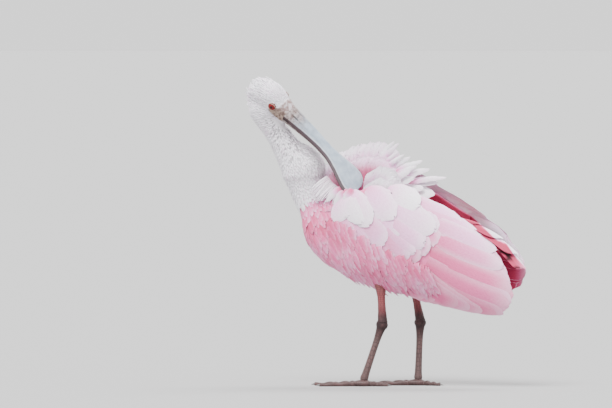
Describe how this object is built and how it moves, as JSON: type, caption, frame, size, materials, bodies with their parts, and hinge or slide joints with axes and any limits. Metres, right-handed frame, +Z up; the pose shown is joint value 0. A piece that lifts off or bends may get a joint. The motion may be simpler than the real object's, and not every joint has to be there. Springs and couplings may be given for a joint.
{
  "type": "roseate spoonbill",
  "caption": "Life-size still model of a roseate spoonbill standing on its own feet, head turned back over its shoulder and its flat spoon-tipped bill in the ruffled feathers of its back",
  "frame": {"origin": "on the floor under the middle of the bird's outline box", "axes": "+Z up; +X along the side view from breast to tail; +Y away from the viewer, so the bird's left side faces -Y"},
  "size_m": [0.45, 0.1926, 0.4976],
  "materials": {
    "bill_horn": "grey horn, satin",
    "claw_horn": "dark horn, satin",
    "crimson": "crimson pink feathers",
    "iris": "glossy red iris and dark pupil",
    "jaw_horn": "dark brown horn, satin",
    "leg_skin": "scaly red brown skin",
    "pale_pink": "pale pink feathers",
    "rose": "rose pink feathers",
    "white_down": "soft white feathers"
  },
  "bodies": {
    "root": {"bill_lower": "jaw_horn", "bill_upper": "bill_horn", "claw_hind_left": "claw_horn", "claw_hind_right": "claw_horn", "claw_inner_left": "claw_horn", "claw_inner_right": "claw_horn", "claw_middle_left": "claw_horn", "claw_middle_right": "claw_horn", "claw_outer_left": "claw_horn", "claw_outer_right": "claw_horn", "eye_left": "iris", "eye_right": "iris", "foot_left": "leg_skin", "foot_right": "leg_skin", "head": "white_down", "mantle": "pale_pink", "neck_lower": "white_down", "neck_upper": "white_down", "tail": "crimson", "tarsus_left": "leg_skin", "tarsus_right": "leg_skin", "tibia_left": "leg_skin", "tibia_right": "leg_skin", "toe_hind_left": "leg_skin", "toe_hind_right": "leg_skin", "toe_inner_left": "leg_skin", "toe_inner_right": "leg_skin", "toe_middle_left": "leg_skin", "toe_middle_right": "leg_skin", "toe_outer_left": "leg_skin", "toe_outer_right": "leg_skin", "torso": "rose", "wing_left": "pale_pink", "wing_right": "pale_pink"}
  },
  "joints": []
}
